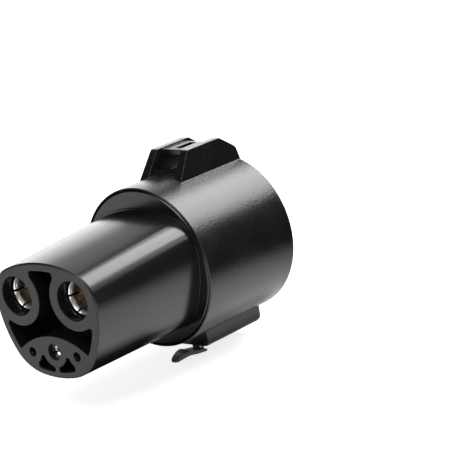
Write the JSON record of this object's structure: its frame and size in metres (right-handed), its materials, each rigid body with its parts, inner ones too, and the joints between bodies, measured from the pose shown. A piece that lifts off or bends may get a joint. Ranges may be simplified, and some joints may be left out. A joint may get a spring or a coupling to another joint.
{
  "type": "charging adapter",
  "caption": "Hand-held charging adapter: a tapered nose with slotted sockets in front, a round pin inlet with latch rails and key cowl behind, and a small finger lever.",
  "frame": {"origin": "on the axis of the round body, in the plane of the shoulder where nose and body meet", "axes": "+Y along the axis from the nose's tip to the rear rim, +Z towards the latch rails, +X to the right when looking along +Y"},
  "size_m": [0.05, 0.083, 0.064],
  "materials": {
    "nose_plastic": "satin",
    "shell_plastic": "satin, fine grain",
    "block_plastic": "satin",
    "contact_silver": "silver-plated, polished",
    "pin_silver": "silver-plated, polished",
    "spring_steel": "bright wire",
    "screw_steel": "zinc plated",
    "retainer_plastic": "as moulded",
    "lead_red": "insulation",
    "lead_black": "insulation",
    "lead_green": "insulation",
    "lead_white": "insulation",
    "lead_blue": "insulation",
    "cutoff_resin": "moulded",
    "seal_rubber": "matt",
    "lever_plastic": "fine grain"
  },
  "bodies": {
    "adapter": {"nose_housing": "nose_plastic", "rear_shell": "shell_plastic", "pin_block": "block_plastic", "power_socket_left": "contact_silver", "power_socket_right": "contact_silver", "socket_spring_left": "spring_steel", "socket_spring_right": "spring_steel", "ground_socket": "contact_silver", "pilot_socket": "contact_silver", "proximity_socket": "contact_silver", "contact_retainer": "retainer_plastic", "retainer_screws": "screw_steel", "power_wire_left": "lead_red", "power_wire_right": "lead_black", "ground_wire": "lead_green", "pilot_wire": "lead_white", "proximity_wire_front": "lead_blue", "thermal_cutoff": "cutoff_resin", "proximity_wire_rear": "lead_blue", "power_pin_left": "pin_silver", "power_pin_right": "pin_silver", "ground_pin": "pin_silver", "pilot_pin": "pin_silver", "proximity_pin": "pin_silver", "body_seal": "seal_rubber", "shell_screws": "screw_steel", "lever_pin": "screw_steel", "lever_spring": "spring_steel"},
    "lever": {"lever": "lever_plastic"}
  },
  "joints": [
    {"name": "lever_press", "type": "hinge", "parent": "adapter", "child": "lever", "pos_m": [0, 0.0162, -0.0272], "axis": [-1, 0, 0], "range_deg": [0, 15], "stiffness_Nm_per_rad": 0.02, "springref_deg": -20.05, "deforming": ["lever_spring"]}
  ]
}
